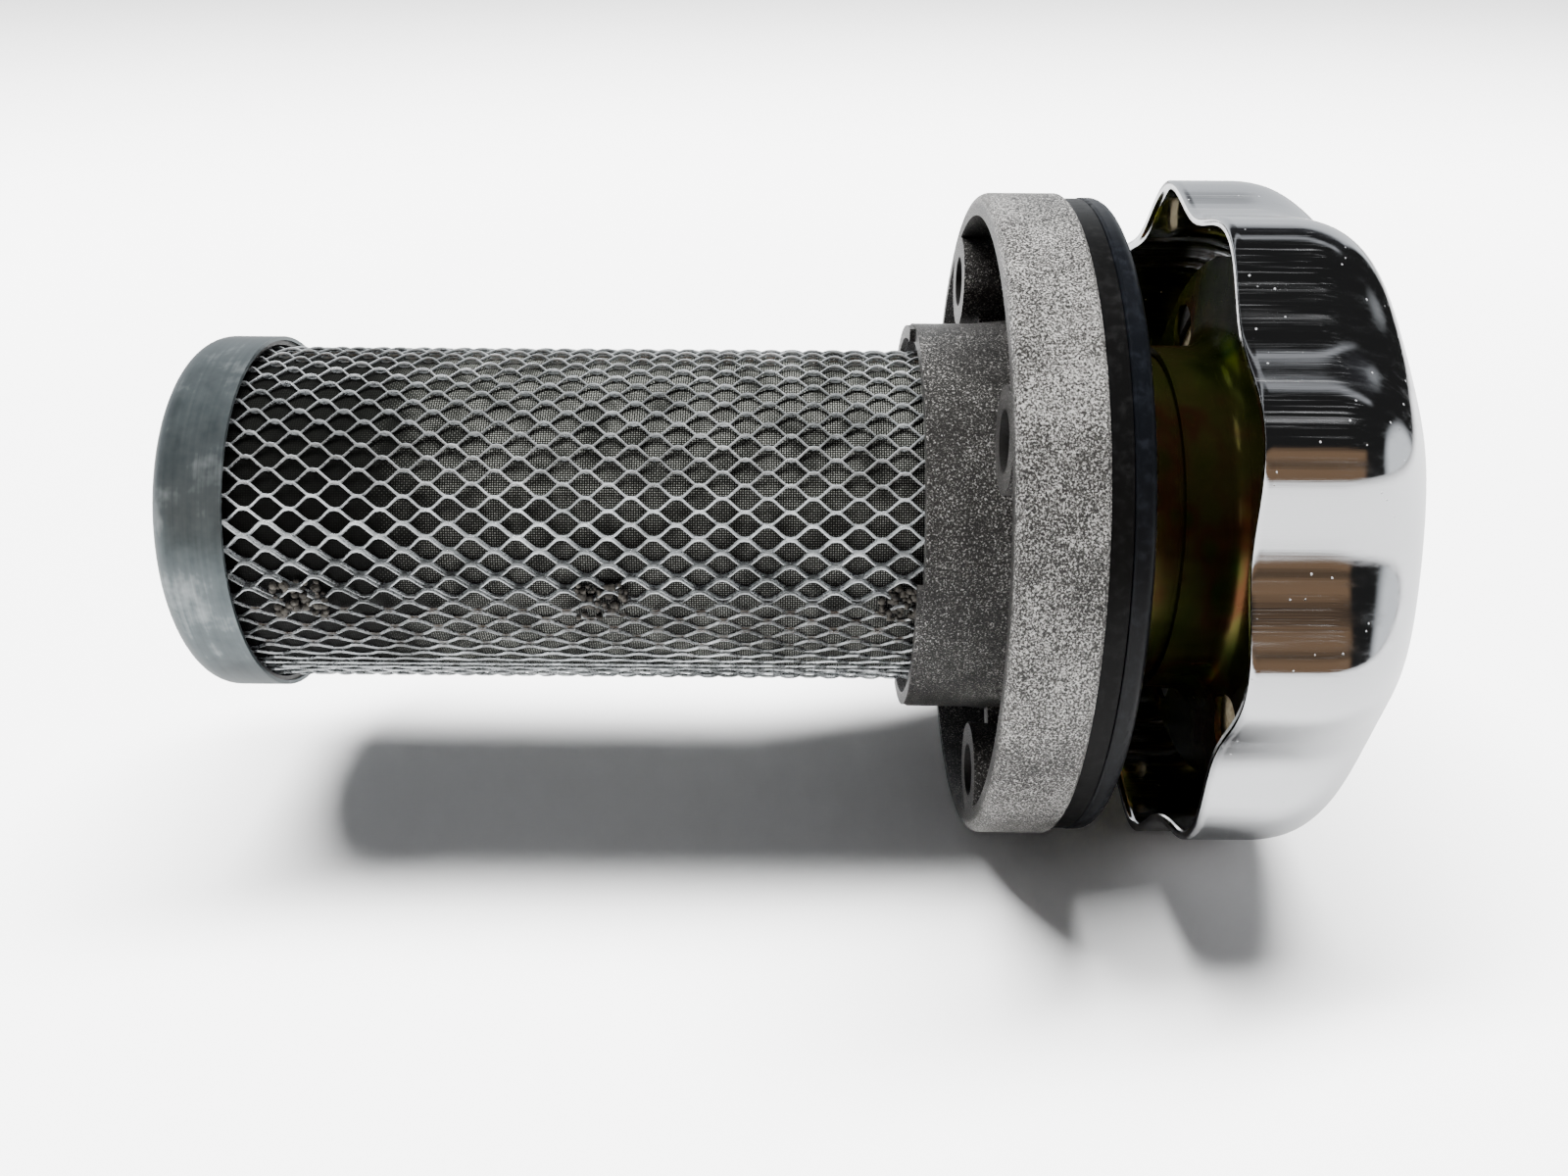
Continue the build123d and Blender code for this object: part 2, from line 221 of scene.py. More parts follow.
class Growth(Builder):
    """A geometry tree that is grown into a plain mesh."""

    def __init__(self, name: str) -> None:
        """Starts an empty tree.

        Args:
            name: the tree's name.
        """
        super().__init__(bpy.data.node_groups.new(name, "GeometryNodeTree"))
        self.tree.interface.new_socket("Mesh", in_out="OUTPUT", socket_type="NodeSocketGeometry")
        self.values: dict[str, object] = {}
        self.entry = self.tree.nodes.new("NodeGroupInput")

    def ask(self, name: str, value: object, kind: str = "Float") -> Socket:
        """Adds a named input to the tree.

        Args:
            name: the input's name.
            value: the value that this piece gives it.
            kind: the socket's kind, such as Float, Int, Object or Material.

        Returns:
            The socket that carries the value inside the tree.
        """
        item = self.tree.interface.new_socket(name, in_out="INPUT", socket_type="NodeSocket" + kind)
        self.values[item.identifier] = value
        return self.entry.outputs[name]

    def size(self, name: str, value: float) -> Field:
        """A named number, ready for arithmetic."""
        return Field(self.tree, self.ask(name, value))

    def grid(self, length: "float | Field", along: int, round_: int) -> Socket:
        """A flat grid whose Y is an angle from minus half a turn to half a turn.

        Args:
            length: its size in X, centred on 0.
            along: its faces in X.
            round_: its faces in Y.

        Returns:
            The grid.
        """
        given = {"Size X": length, "Size Y": TURN, "Vertices X": along + 1, "Vertices Y": round_ + 1}
        return self.add("GeometryNodeMeshGrid", given).outputs[0]

    def index(self) -> Field:
        """Each point's number."""
        return Field(self.tree, self.add("GeometryNodeInputIndex", {}).outputs[0])

    def position(self) -> tuple[Field, Field, Field]:
        """Each point's place."""
        return self.parts_of(self.add("GeometryNodeInputPosition", {}).outputs[0])

    def place(self, x: Field, radius: Field, angle: Field) -> Socket:
        """A point at a radius and an angle round the part's axis."""
        y = radius * angle.join("COSINE") * -1.0
        z = radius * angle.join("SINE")
        return self.add("ShaderNodeCombineXYZ", {"X": x, "Y": y, "Z": z}).outputs[0]

    def move(self, mesh: Socket, place: Socket) -> Socket:
        """The mesh with each point at a new place."""
        return self.add("GeometryNodeSetPosition", {"Geometry": mesh, "Position": place}).outputs[0]

    def seal(self, mesh: Socket) -> Socket:
        """The mesh joined to itself where its edges meet, and shaded smooth."""
        merged = self.add("GeometryNodeMergeByDistance", {"Geometry": mesh, "Distance": SEAM_GAP})
        return self.add("GeometryNodeSetShadeSmooth", {"Geometry": merged.outputs[0]}).outputs[0]

    def close(self, mesh: Socket, material: Material) -> None:
        """Ends the tree in Realize Instances and Set Material."""
        real = self.add("GeometryNodeRealizeInstances", {"Geometry": mesh}).outputs[0]
        finish = self.ask("Finish", material, "Material")
        dressed = self.add("GeometryNodeSetMaterial", {"Geometry": real, "Material": finish}).outputs[0]
        self.tree.links.new(dressed, self.tree.nodes.new("NodeGroupOutput").inputs[0])

    def grow(self, name: str, wall: float = 0.0, inside: Material | None = None) -> Piece:
        """Evaluates the tree into a plain mesh.

        Args:
            name: the piece's name.
            wall: a sheet thickness to give it, inwards, or 0.
            inside: the finish of a wall's inner side and rim, where it differs.

        Returns:
            The finished piece, with no modifier on it.
        """
        piece = bpy.data.objects.new(name, bpy.data.meshes.new(name))
        bpy.context.scene.collection.objects.link(piece)
        modifier = piece.modifiers.new("grow", "NODES")
        modifier.node_group = self.tree
        for identifier, value in self.values.items():
            modifier[identifier] = value
        if wall:
            sheet = piece.modifiers.new("sheet", "SOLIDIFY")
            sheet.thickness = wall
            sheet.offset = -1
            sheet.use_even_offset = True
            sheet.material_offset = 1
            sheet.material_offset_rim = 1
        graph = bpy.context.evaluated_depsgraph_get()
        piece.update_tag()
        graph.update()
        plain = bpy.data.meshes.new_from_object(piece.evaluated_get(graph))
        piece.modifiers.clear()
        piece.data = plain
        if inside:
            plain.materials.append(inside)
        LOG.info("%s grown: %d faces", name, len(plain.polygons))
        return piece


def stand_in(piece: Piece, node: str, body: Body) -> Piece:
    """Puts a finished piece in a frame node's place.

    Args:
        piece: the piece.
        node: the node that it replaces.
        body: the body that it rides on.

    Returns:
        The piece.
    """
    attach(piece, body.value)
    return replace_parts(piece, node)


@dataclass(frozen=True)
class Speck:
    """One layer of noise: how fine it is and how it is stretched."""

    per_metre: float
    stretch: Triple = (1.0, 1.0, 1.0)
    detail: float = 2.0
    rough: float = 0.55


class Paint(Builder):
    """A procedural material under construction."""

    def __init__(self, name: str, **constants: object) -> None:
        """Starts from a Principled shader.

        Args:
            name: the material's name.
            constants: values for the shader's own sockets, with _ for a space.
        """
        self.material = bpy.data.materials.new(name)
        self.material.use_nodes = True
        super().__init__(self.material.node_tree)
        self.shader = self.tree.nodes["Principled BSDF"]
        for key, value in constants.items():
            self.shader.inputs[key.replace("_", " ")].default_value = value
        self.where = self.tree.nodes.new("ShaderNodeTexCoord").outputs["Object"]

    def noise(self, speck: Speck) -> Field:
        """A noise on the piece's own Object coordinates."""
        moved = self.add("ShaderNodeMapping", {"Vector": self.where, "Scale": speck.stretch}).outputs[0]
        given = {"Vector": moved, "Scale": speck.per_metre}
        given |= {"Detail": speck.detail, "Roughness": speck.rough}
        return Field(self.tree, self.add("ShaderNodeTexNoise", given).outputs[0])

    def cells(self, per_metre: float) -> Field:
        """The distance to the nearest of many scattered points."""
        given = {"Vector": self.where, "Scale": per_metre}
        return Field(self.tree, self.add("ShaderNodeTexVoronoi", given).outputs["Distance"])

    def feed(self, name: str, source: Field | Socket) -> None:
        """Links a source to one of the shader's sockets."""
        socket = source.socket if isinstance(source, Field) else source
        self.tree.links.new(socket, self.shader.inputs[name])

    def colour(self, share: Field, stops: Stops) -> None:
        """Colours the surface along a ramp."""
        self.feed("Base Color", self.ramp(share, stops))

    def bump(self, height: Field, depth: float, strength: float = 1.0) -> None:
        """Raises the surface by a height, in metres at 1."""
        given = {"Height": height, "Distance": depth, "Strength": strength}
        if self.shader.inputs["Normal"].is_linked:
            given["Normal"] = self.shader.inputs["Normal"].links[0].from_socket
        self.feed("Normal", self.add("ShaderNodeBump", given).outputs[0])


@dataclass(frozen=True)
class CastMetal:
    """Shot-blasted die casting: grey grain, its brightest specks painted glints for the sparkle."""

    grain: float = 4300.0
    rim_radius: float = 40.6 * MM
    hole_circle: float = 33.6 * MM
    hole_radius: float = 3.3 * MM
    hole_count: int = 4
    first_hole: float = math.radians(39.25)
    dark: Triple = (0.014, 0.0136, 0.013)
    middle: Triple = (0.056, 0.054, 0.051)
    # light: the colour of the bright specks, which are painted glints.
    light: Triple = (0.46, 0.45, 0.43)

    def make(self) -> Material:
        """Builds the material."""
        paint = Paint("cast_metal", Metallic=0.45)
        # The grain's tone; its brightest specks are painted glints.
        grains = paint.noise(Speck(self.grain, detail=3.0, rough=0.75))
        blotch = paint.noise(Speck(110.0, detail=3.0))
        _, y, z = paint.parts_of(paint.where)
        radius = (y * y + z * z).join("SQRT")
        # Painted shade: the outer rim stays lighter, and everything inward of it, the neck and the
        # pockets, is darker.
        rim = radius.eased(self.rim_radius - 0.8 * MM, self.rim_radius)
        # Painted shade in the bolt holes: inside each hole the colour is much darker.
        step = TURN / self.hole_count
        turned = z.join("ARCTAN2", y * -1.0) + (2 * TURN - self.first_hole + step / 2)
        folded = turned.join("MODULO", step) - step / 2
        inward = radius * folded.join("COSINE") * (2 * self.hole_circle)
        from_hole = (radius * radius - inward + self.hole_circle ** 2).join("SQRT")
        outside_hole = from_hole.eased(self.hole_radius, self.hole_radius + 0.25 * MM)
        share = grains * 0.85 + blotch * 0.15 + rim * 0.055 + outside_hole * 0.30 - 0.358
        paint.colour(share, [(0.42, self.dark), (0.5, self.middle), (0.59, self.light)])
        paint.feed("Roughness", grains * 0.4 + 0.22)
        paint.bump(grains, 0.00016, 0.9)
        paint.bump(paint.noise(Speck(900.0, detail=2.0)), 0.00005, 0.35)
        return paint.material


@dataclass(frozen=True)
class ChromePlate:
    """Bright plating over drawn sheet, with fine lines along the axis and a few pits."""

    tint: tuple[float, float, float, float] = (0.68, 0.69, 0.705, 1.0)
    skirt_end: float = 33.0 * MM
    skirt_fade: float = 3.0 * MM

    def make(self) -> Material:
        """Builds the material."""
        paint = Paint("chrome_plate", Metallic=1.0, Base_Color=self.tint)
        lines = paint.noise(Speck(700.0, stretch=(0.02, 1.0, 1.0), detail=4.0, rough=0.65))
        haze = paint.noise(Speck(60.0, detail=3.0))
        x = paint.parts_of(paint.where)[0]
        skirt = x.eased(self.skirt_end, self.skirt_end + self.skirt_fade) * -1.0 + 1.0
        fine = paint.noise(Speck(2600.0, stretch=(0.012, 1.0, 1.0), detail=4.0, rough=0.7))
        paint.feed("Roughness", lines.eased(0.40, 0.72) * 0.16 + haze * 0.05 + 0.03)
        paint.bump(lines * skirt, 0.00003, 0.4)
        paint.bump(fine * skirt, 0.000012, 0.5)
        pits = paint.cells(520.0).eased(0.03, 0.09)
        scuffs = (fine.eased(0.56, 0.76) * 0.13 + lines.eased(0.58, 0.78) * 0.08) * skirt
        paint.feed("Metallic", (pits * 0.4 + 0.6) - scuffs)
        paint.bump(pits, 0.00005, 0.5)
        return paint.material


@dataclass(frozen=True)
class YellowChromate:
    """Iridescent yellow passivation over zinc: olive, gold, copper red and green, all kept very dark as
    painted shade for the inside of the cap.
    """

    def make(self) -> Material:
        """Builds the material."""
        paint = Paint("yellow_chromate", Metallic=0.95, Specular_Tint=(0.12, 0.14, 0.05, 1.0))
        drift = paint.noise(Speck(55.0, stretch=(1.6, 1.0, 1.0), detail=3.0, rough=0.6))
        # Painted shade: these colours are all kept very dark for the shade inside the cap.
        shade_darkened_colours = [
            (0.30, (0.030, 0.044, 0.008)),
            (0.42, (0.078, 0.090, 0.020)),
            (0.50, (0.105, 0.092, 0.026)),
            (0.57, (0.110, 0.045, 0.020)),
            (0.65, (0.054, 0.086, 0.016)),
            (0.78, (0.026, 0.058, 0.020)),
        ]
        paint.colour(drift, shade_darkened_colours)
        streak = paint.noise(Speck(500.0, stretch=(0.1, 1.0, 1.0)))
        paint.feed("Roughness", streak * 0.18 + 0.14)
        paint.bump(streak, 0.00003, 0.3)
        return paint.material


@dataclass(frozen=True)
class Galvanised:
    """Dull zinc sheet with drawing marks round it and a soft bloom."""

    dark: Triple = (0.062, 0.074, 0.078)
    middle: Triple = (0.12, 0.14, 0.146)
    light: Triple = (0.34, 0.37, 0.375)

    def make(self) -> Material:
        """Builds the material."""
        paint = Paint("galvanised", Metallic=0.85)
        marks = paint.noise(Speck(420.0, stretch=(4.0, 0.12, 0.12), detail=3.0))
        bloom = paint.noise(Speck(120.0, detail=4.0, rough=0.65))
        share = marks * 0.2 + bloom * 0.8
        paint.colour(share, [(0.32, self.dark), (0.56, self.middle), (0.74, self.light)])
        paint.feed("Roughness", bloom * 0.35 + 0.26)
        paint.bump(marks, 0.00004, 0.2)
        paint.bump(paint.noise(Speck(2600.0)), 0.00002, 0.25)
        return paint.material


@dataclass(frozen=True)
class BrightSteel:
    """Bright slit steel of the strainer, with a little grey staining."""

    dark: Triple = (0.20, 0.21, 0.21)
    middle: Triple = (0.44, 0.46, 0.47)
    light: Triple = (0.76, 0.78, 0.79)

    def make(self) -> Material:
        """Builds the material."""
        paint = Paint("bright_steel", Metallic=0.75)
        stain = paint.noise(Speck(140.0, detail=3.0))
        grain = paint.noise(Speck(3000.0, stretch=(0.3, 1.0, 1.0)))
        share = stain * 0.7 + grain * 0.3
        paint.colour(share, [(0.34, self.dark), (0.52, self.middle), (0.7, self.light)])
        paint.feed("Roughness", grain * 0.25 + 0.16)
        paint.bump(grain, 0.00002, 0.4)
        return paint.material


@dataclass(frozen=True)
class WovenWire:
    """Plain-woven fine wire, drawn on the sheet's own UV in metres, with painted glints and painted
    shade.
    """

    pitch: float = 0.29 * MM
    # Where the painted shade by the end cup is full, and where it has faded out.
    cup_shade_until: float = -78.0 * MM
    cup_shade_ends: float = -60.0 * MM
    # gap is painted shade in the openings of the weave; bright is the painted glint on the crossings.
    gap: Triple = (0.002, 0.002, 0.002)
    shaded: Triple = (0.011, 0.012, 0.010)
    bright: Triple = (0.29, 0.295, 0.27)

    def make(self) -> Material:
        """Builds the material."""
        paint = Paint("woven_wire", Metallic=0.15, Specular_IOR_Level=0.12)
        mesh_uv = paint.add("ShaderNodeUVMap", {}, uv_map="weave").outputs[0]
        along, round_, _ = paint.parts_of(mesh_uv)
        warp = (along * (math.pi / self.pitch)).join("SINE")
        weft = (round_ * (math.pi / self.pitch)).join("SINE")
        # Painted highlights: the crossings of the wires light up as bright dots.
        knuckle_glints = (warp * warp * weft * weft).eased(0.28, 0.62)
        threads = (warp * warp).join("MAXIMUM", weft * weft).eased(0.5, 0.9)
        woven = warp * weft * 0.5 + 0.5
        wire = knuckle_glints * 0.85 + threads * 0.15
        x = paint.parts_of(paint.where)[0]
        # Painted shade: the cloth darkens towards the end cup, down to a quarter.
        cup_shade_factor = x.eased(self.cup_shade_until, self.cup_shade_ends) * 0.75 + 0.25
        cloudy = paint.noise(Speck(260.0, detail=3.0)).eased(0.3, 0.62) * 0.45 + 0.5
        # The colour carries painted light and shade: glints on the crossings, shade in the gaps and
        # where a wire passes under its neighbour.
        lit = wire * cup_shade_factor * cloudy * (woven * 0.3 + 0.7)
        paint.colour(lit, [(0.0, self.gap), (0.3, self.shaded), (1.0, self.bright)])
        paint.feed("Roughness", wire * -0.2 + 0.6)
        paint.bump(wire * (woven * 0.5 + 0.5), 0.00006, 0.5)
        return paint.material


@dataclass(frozen=True)
class Rubber:
    """Smooth moulded black rubber with a satin sheen and a little dust."""

    name: str
    sheen: float
    tint: Triple

    def make(self) -> Material:
        """Builds the material."""
        paint = Paint(self.name, Specular_IOR_Level=self.sheen)
        dust = paint.noise(Speck(700.0, detail=4.0, rough=0.7))
        dusty = tuple(3 * part for part in self.tint)
        paint.colour(dust, [(0.5, self.tint), (0.75, dusty)])
        paint.feed("Roughness", dust * 0.3 + 0.22)
        paint.bump(paint.noise(Speck(1800.0)), 0.00002, 0.3)
        return paint.material


@dataclass(frozen=True)
class Plain:
    """A finish of two close shades with a fine grain, for the small and hidden pieces."""

    name: str
    dark: Triple
    light: Triple
    metal: float
    rough: float
    grain: float = 1500.0
    depth: float = 0.00004

    def make(self) -> Material:
        """Builds the material."""
        paint = Paint(self.name, Metallic=self.metal)
        grain = paint.noise(Speck(self.grain, detail=3.0))
        paint.colour(grain, [(0.35, self.dark), (0.65, self.light)])
        paint.feed("Roughness", grain * 0.2 + (self.rough - 0.1))
        paint.bump(grain, self.depth, 0.5)
        return paint.material


@dataclass
class Strainer:
    """The basket below the flange: expanded metal, its woven liner and its seam welds."""

    cell_length: float = 5.37 * MM
    cells_round: int = 43
    strand_width: float = 0.44 * MM
    strand_depth: float = 0.34 * MM
    tilt: float = math.radians(42)
    rise: float = 0.26 * MM
    lap_rows: int = 6
    lap_rise: float = 0.75 * MM
    steps: int = 10
    bond: float = 0.2
    seam_angle: float = math.radians(-3.5)
    first_weld: float = -82 * MM
    last_weld: float = -9 * MM
    welds: int = 3
    beads: int = 60
    bead_radius: float = 0.5 * MM
    cloth_sheet: float = 0.2 * MM
    cloth_rings: int = 11
    cloth_sides: int = 160

    def strand(self) -> Piece:
        """Builds one strand of a cell: a tilted bar that rises to its bond and falls again.

        Returns:
            The strand, lying flat, with X along the axis, Y round it and Z outwards.
        """
        half_cell = self.cell_height / 2
        across = Vector((0, math.cos(self.tilt), -math.sin(self.tilt))) * self.strand_width / 2
        out = Vector((0, math.sin(self.tilt), math.cos(self.tilt))) * self.strand_depth / 2
        corners = ((-0.6, -1), (0.6, -1), (1, 0), (0.6, 1), (-0.6, 1), (-1, 0))
        shape = bmesh.new()
        loops = []
        for step in range(self.steps + 1):
            share = step / self.steps
            climb = (1 - abs(2 * share - 1)) * (1 + 2 * self.bond) - self.bond
            climb = min(1.0, max(0.0, climb))
            eased = climb * climb * (3 - 2 * climb) * 0.25 + climb * 0.75
            rise = (2 * eased - 1) * self.rise
            middle = Vector(((share - 0.5) * self.cell_length, eased * half_cell, rise))
            loops.append([shape.verts.new(middle + across * a + out * b) for a, b in corners])
        for first, second in zip(loops, loops[1:]):
            for k in range(6):
                shape.faces.new((first[k], first[(k + 1) % 6], second[(k + 1) % 6], second[k]))
        shape.faces.new(loops[0][::-1])
        shape.faces.new(loops[-1])
        bmesh.ops.recalc_face_normals(shape, faces=shape.faces)
        mesh = bpy.data.meshes.new("strand")
        shape.to_mesh(mesh)
        shape.free()
        return bpy.data.objects.new("strand", mesh)

    @property
    def cell_height(self) -> float:
        """The height of a cell round the tube."""
        return TURN * self.radius / self.cells_round

    @property
    def radius(self) -> float:
        """The radius of the middle of the sheet, from the frame."""
        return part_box("strainer_tube")[1].y - 0.42 * MM

    def build_metal(self, material: Material) -> Piece:
        """Lays the strands out in rows, rolls them into a tube and laps the ends.

        Args:
            material: the strands' finish.

        Returns:
            The expanded-metal tube.
        """
        low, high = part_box("strainer_tube")
        columns = int((high.x - low.x) / self.cell_length)
        growth = Growth("expanded_metal")
        rows = growth.ask("Rows", 2 * self.cells_round + self.lap_rows, "Int")
        per_row = growth.size("Cells along", float(columns))
        pitch = growth.size("Cell length", self.cell_length)
        height = growth.size("Half cell height", self.cell_height / 2)
        radius = growth.size("Radius", self.radius)
        start = growth.size("Start", low.x + (high.x - low.x - columns * self.cell_length) / 2)
        seam = growth.size("Seam angle", self.seam_angle)
        unit = growth.ask("Strand", self.strand(), "Object")
        row_count = Field(growth.tree, rows)
        index = growth.index()
        row = (index / per_row + 0.0001).join("FLOOR")
        column = index - row * per_row
        odd = row.join("MODULO", 2.0)
        along = start + (column + odd * 0.5 + 0.25) * pitch
        spot = growth.add("ShaderNodeCombineXYZ", {"X": along, "Y": row * height, "Z": 0.0})
        count = row_count * per_row
        points = growth.add("GeometryNodePoints", {"Count": count, "Position": spot.outputs[0]})
        shape = growth.add("GeometryNodeObjectInfo", {"Object": unit})
        given = {"Points": points.outputs[0], "Instance": shape.outputs["Geometry"]}
        spread = growth.add("GeometryNodeInstanceOnPoints", given)
        real = growth.add("GeometryNodeRealizeInstances", {"Geometry": spread.outputs[0]})
        x, y, z = growth.position()
        turned = y / radius
        lap = (turned - TURN * 0.97).eased(0.0, TURN * 0.03) * self.lap_rise
        wrapped = growth.place(x, radius + z + lap - self.lap_rise * 0.3, seam + turned)
        growth.close(growth.move(real.outputs[0], wrapped), material)
        return stand_in(growth.grow("expanded_metal_tube"), "strainer_tube", Body.FLANGE)

    def build_cloth(self, material: Material) -> Piece:
        """Rolls the woven liner, with its UV in metres.

        Args:
            material: the weave.

        Returns:
            The liner.
        """
        low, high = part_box("wire_cloth")
        growth = Growth("wire_liner")
        length = growth.size("Length", high.x - low.x)
        radius = growth.size("Radius", high.y - 0.25 * MM)
        middle = growth.size("Middle", (high.x + low.x) / 2)
        grid = growth.grid(length, self.cloth_rings, self.cloth_sides)
        x, angle, _ = growth.position()
        flat = growth.add("ShaderNodeCombineXYZ", {"X": x, "Y": angle * radius, "Z": 0.0})
        named = growth.add(
            "GeometryNodeStoreNamedAttribute",
            {"Geometry": grid, "Name": "weave", "Value": flat.outputs[0]},
            data_type="FLOAT2",
            domain="CORNER",
        )
        rolled = growth.move(named.outputs[0], growth.place(x + middle, radius, angle))
        growth.close(growth.seal(rolled), material)
        piece = growth.grow("woven_liner", wall=self.cloth_sheet)
        return stand_in(piece, "wire_cloth", Body.FLANGE)

    def build_welds(self, material: Material) -> Piece:
        """Scatters the beads of burnt metal at the seam's spot welds.

        Args:
            material: the burnt metal.

        Returns:
            The weld beads.
        """
        growth = Growth("weld_beads")
        per_weld = growth.size("Beads in a weld", float(self.beads))
        radius = growth.size("Radius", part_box("strainer_tube")[1].y - 0.1 * MM)
        seam = growth.size("Seam angle", self.seam_angle)
        spread = growth.size("Spread", 2.4 * MM)
        weld = (growth.index() / per_weld + 0.001).join("FLOOR")
        middle = weld * ((self.last_weld - self.first_weld) / (self.welds - 1)) + self.first_weld

        def scatter(seed: int) -> Field:
            """A fixed random number from -1 to 1 for each bead."""
            drawn = growth.add("FunctionNodeRandomValue", {"Seed": seed}, data_type="FLOAT")
            drawn.inputs[2].default_value = -1.0
            drawn.inputs[3].default_value = 1.0
            return Field(growth.tree, drawn.outputs[1])

        along = middle + scatter(3) * spread * 1.3
        height = radius + scatter(7) * (0.25 * MM)
        spot = growth.place(along, height, seam + scatter(11) * spread / radius)
        count = per_weld * float(self.welds)
        beads = growth.add("GeometryNodePoints", {"Count": count, "Position": spot})
        ball = growth.add("GeometryNodeMeshIcoSphere", {"Radius": self.bead_radius, "Subdivisions": 2})
        scale = scatter(17) * 0.4 + 0.8
        given = {"Points": beads.outputs[0], "Instance": ball.outputs[0], "Scale": scale}
        placed = growth.add("GeometryNodeInstanceOnPoints", given)
        growth.close(placed.outputs[0], material)
        return stand_in(growth.grow("seam_weld_beads"), "seam_welds", Body.FLANGE)


@dataclass
class CapShell:
    """The lobed chrome shell: a straight lobed skirt, a round corner and a flat crown."""

    lobes: int = 10
    mean_radius: float = 41.7 * MM
    lobe: float = 1.7 * MM
    corner: float = 14.6 * MM
    sheet: float = 1.0 * MM
    dish: float = 0.35 * MM
    dish_from: float = 0.12
    dish_to: float = 0.32
    fade_from: float = 0.25
    fade_to: float = 1.35
    rings: int = 57
    sides: int = 400

    def build(self, plate: Material, inside: Material) -> Piece:
        """Grows the shell from its arc length and angle.

        Args:
            plate: the outer finish.
            inside: the finish inside and on the cut rim.

        Returns:
            The shell.
        """
        low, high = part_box("cap_shell")
        skirt_length = high.x - low.x - self.corner
        crown_radius = self.mean_radius - self.corner
        bend = self.corner * math.pi / 2
        total = skirt_length + bend + crown_radius
        growth = Growth("lobed_shell")
        lobes = growth.size("Lobes", float(self.lobes))
        mean = growth.size("Mean radius", self.mean_radius)
        height = growth.size("Lobe height", self.lobe)
        corner = growth.size("Corner radius", self.corner)
        skirt = growth.size("Skirt length", skirt_length)
        rim = growth.size("Rim", low.x)
        grid = growth.grid(total, self.rings, self.sides)
        x, angle, _ = growth.position()
        run = x + total / 2
        past = ((run - skirt) / corner).limited(0.0, math.pi / 2)
        flat = (run - skirt - corner * (math.pi / 2)).limited(0.0, crown_radius)
        fade = past.eased(self.fade_from, self.fade_to) * -1.0 + 1.0
        wave = (angle * lobes).join("COSINE")
        radius = mean - corner + corner * past.join("COSINE") - flat + wave * height * fade
        sunk = (flat / crown_radius).eased(self.dish_from, self.dish_to) * self.dish
        along = rim + run.join("MINIMUM", skirt) + corner * past.join("SINE") - sunk
        shaped = growth.move(grid, growth.place(along, radius, angle))
        growth.close(growth.seal(shaped), plate)
        piece = growth.grow("lobed_cap_shell", wall=self.sheet, inside=inside)
        return stand_in(piece, "cap_shell", Body.CAP)


@dataclass(frozen=True)
class DrawSpring:
    """The coil spring under the draw bolt's seat; on the real part it shortens as the lugs are drawn,
    here it is wound at one length.
    """

    wire: float = 0.6 * MM
    turns: float = 4.0
    steps: int = 160
    sides: int = 14

    def build(self, material: Material) -> Piece:
        """Winds a round wire between its end faces, with closed tips.

        Args:
            material: the wire's finish.

        Returns:
            The spring.
        """
        low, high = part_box("draw_spring")
        growth = Growth("coil_spring")
        turns = growth.size("Turns", self.turns)
        wire = growth.size("Wire radius", self.wire)
        mean = growth.size("Mean radius", high.y - self.wire)
        start = growth.size("Start", low.x + self.wire)
        length = growth.size("Length", high.x - low.x - 2 * self.wire)
        grid = growth.grid(1.0, self.steps, self.sides)
        x, side, _ = growth.position()
        share = x + 0.5
        from_tip = share.join("MINIMUM", share * -1.0 + 1.0) * float(self.steps)
        thick = wire * from_tip.limited(0.0, 1.0)
        along = start + share * length + side.join("SINE") * thick
        radius = mean + side.join("COSINE") * thick
        wound = growth.move(grid, growth.place(along, radius, share * turns * TURN))
        growth.close(growth.seal(wound), material)
        piece = stand_in(growth.grow("coil_spring"), "draw_spring", Body.CAP)
        joints = {joint["name"]: joint for joint in frame["record"]["behaviour"]["joints"]}
        keep = 1 - joints["lug_draw"]["range_m"][1] / (high.x - low.x)
        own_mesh(piece)
        return piece


def dress(finishes: dict[str, Material], groups: dict[str, tuple[str, ...]]) -> None:
    """Puts each finish on the frame's own pieces.

    Args:
        finishes: materials by name.
        groups: for each material's name, the pieces that wear it.
    """
    for name, members in groups.items():
        for member in members:
            piece = frame["nodes"][member]
            piece.data.materials.clear()
            piece.data.materials.append(finishes[name])
            LOG.info("%s dressed in %s", member, name)


